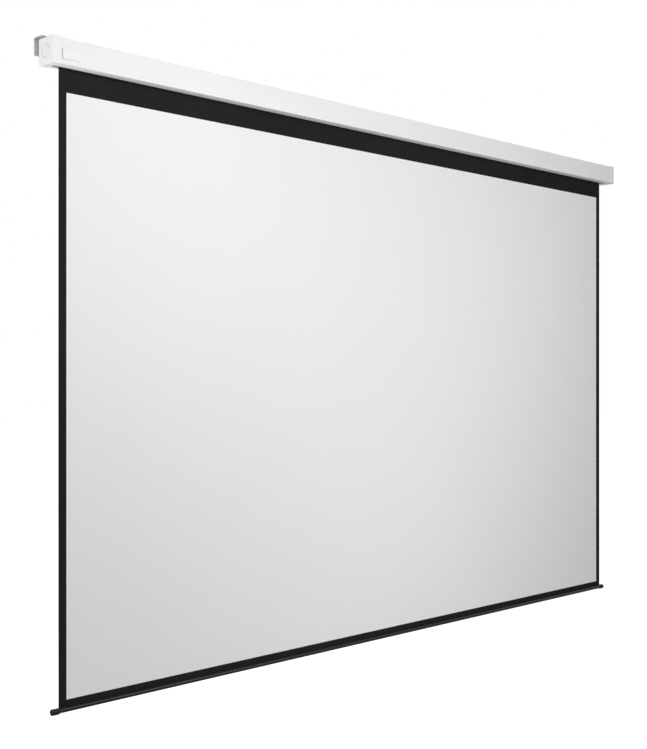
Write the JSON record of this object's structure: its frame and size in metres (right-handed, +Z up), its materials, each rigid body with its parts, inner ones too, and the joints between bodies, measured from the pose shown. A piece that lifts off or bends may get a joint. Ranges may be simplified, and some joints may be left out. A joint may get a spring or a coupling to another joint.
{
  "type": "motorized projector screen",
  "caption": "Electric roll-down projector screen: a long white case with an L-bracket at each end, a white sheet with black borders, and a round black weight bar.",
  "frame": {"origin": "on the wall, at the ceiling, half way between the two brackets", "axes": "+X along the screen, +Y into the wall, +Z up; the front faces -Y and the sheet hangs down"},
  "size_m": [2.815, 0.074, 1.8311],
  "materials": {
    "case_white_paint": "satin white powder coat",
    "cap_white_plastic": "fine satin, white",
    "badge_plastic": "smooth, bare",
    "lip_grey_plastic": "matt grey",
    "bracket_steel": "zinc plated, dull grey",
    "fixing_zinc": "bright zinc",
    "plate_steel": "zinc plated",
    "roller_aluminium": "mill finish",
    "sheet_vinyl": "matt white face, black borders and back",
    "wound_vinyl": "matt black",
    "black_plastic": "black",
    "white_nylon": "natural nylon",
    "yellow_plastic": "yellow",
    "motor_steel": "plated tube",
    "motor_zinc": "die cast",
    "core_steel": "laminated core",
    "brake_lining": "friction lining",
    "bush_bronze": "sintered bronze",
    "switch_plastic": "moulded",
    "capacitor_can": "moulded can",
    "shaft_steel": "ground",
    "grommet_rubber": "black",
    "lead_black": "black sheath",
    "bar_black_paint": "satin black",
    "bar_cap_plastic": "black"
  },
  "bodies": {
    "case": {"case_shell": "case_white_paint", "left_end_cap": "cap_white_plastic", "right_end_cap": "cap_white_plastic", "left_pin_cover": "cap_white_plastic", "right_pin_cover": "cap_white_plastic", "badge_plate": "badge_plastic", "slot_guide": "lip_grey_plastic", "front_lip": "lip_grey_plastic", "left_bracket": "bracket_steel", "right_bracket": "bracket_steel", "left_bracket_screw": "fixing_zinc", "right_bracket_screw": "fixing_zinc", "left_rail_nut": "fixing_zinc", "right_rail_nut": "fixing_zinc", "motor_end_plate": "plate_steel", "idler_end_plate": "plate_steel", "motor_plate_screw_1": "fixing_zinc", "motor_plate_screw_2": "fixing_zinc", "motor_plate_screw_3": "fixing_zinc", "idler_plate_screw_1": "fixing_zinc", "idler_plate_screw_2": "fixing_zinc", "idler_plate_screw_3": "fixing_zinc", "idler_bush": "white_nylon", "screen_sheet": "sheet_vinyl", "motor_head": "black_plastic", "motor_tube": "motor_steel", "motor_head_screw_1": "fixing_zinc", "motor_head_screw_2": "fixing_zinc", "front_rotor_bush": "bush_bronze", "rear_rotor_bush": "bush_bronze", "limit_switch_block": "switch_plastic", "run_capacitor": "capacitor_can", "motor_rear_shield": "motor_zinc", "motor_front_shield": "motor_zinc", "motor_stator": "core_steel", "motor_brake": "black_plastic", "gearbox": "motor_zinc", "inlet_grommet": "grommet_rubber", "terminal_block": "switch_plastic", "motor_lead": "lead_black"},
    "rotor": {"motor_rotor": "core_steel", "brake_disc": "brake_lining", "rotor_shaft": "shaft_steel"},
    "roller": {"roller_tube": "roller_aluminium", "wound_sheet": "wound_vinyl", "sheet_clamp_strip": "black_plastic", "output_shaft": "shaft_steel", "drive_wheel": "black_plastic", "crown_ring": "white_nylon", "idler_plug": "black_plastic", "idler_stop_ring": "shaft_steel", "idler_spring": "shaft_steel", "shaft_clip": "shaft_steel"},
    "pin": {"idler_pin": "shaft_steel"},
    "bar": {"weight_bar": "bar_black_paint", "hem_rod": "shaft_steel", "left_bar_cap": "bar_cap_plastic", "right_bar_cap": "bar_cap_plastic"},
    "upper_screw": {"upper_limit_screw": "yellow_plastic"},
    "lower_screw": {"lower_limit_screw": "white_nylon"}
  },
  "joints": [
    {"name": "rotor_spin", "type": "hinge", "parent": "case", "child": "rotor", "pos_m": [-1.17, -0.03825, -0.0395], "axis": [1, 0, 0], "range_deg": [0, 324800]},
    {"name": "roller_spin", "type": "hinge", "parent": "case", "child": "roller", "pos_m": [0, -0.03825, -0.0395], "axis": [1, 0, 0], "range_deg": [0, 3777]},
    {"name": "bar_travel", "type": "slide", "parent": "case", "child": "bar", "axis": [0, 0, 1], "range_m": [0, 1.735], "deforming": ["screen_sheet"]},
    {"name": "idler_pin_slide", "type": "slide", "parent": "roller", "child": "pin", "axis": [-1, 0, 0], "range_m": [0, 0.008], "stiffness_N_per_m": 1200, "springref_m": -0.012, "deforming": ["idler_spring"]},
    {"name": "upper_limit_turn", "type": "hinge", "parent": "case", "child": "upper_screw", "pos_m": [-1.3773, -0.05325, -0.0395], "axis": [1, 0, 0], "range_deg": [-1800, 1800]},
    {"name": "lower_limit_turn", "type": "hinge", "parent": "case", "child": "lower_screw", "pos_m": [-1.3773, -0.02325, -0.0395], "axis": [1, 0, 0], "range_deg": [-1800, 1800]}
  ],
  "couplings": [
    {"joint": "roller_spin", "follows": "bar_travel", "rad_per_m": 37.99},
    {"joint": "rotor_spin", "follows": "bar_travel", "rad_per_m": 3267.1}
  ]
}
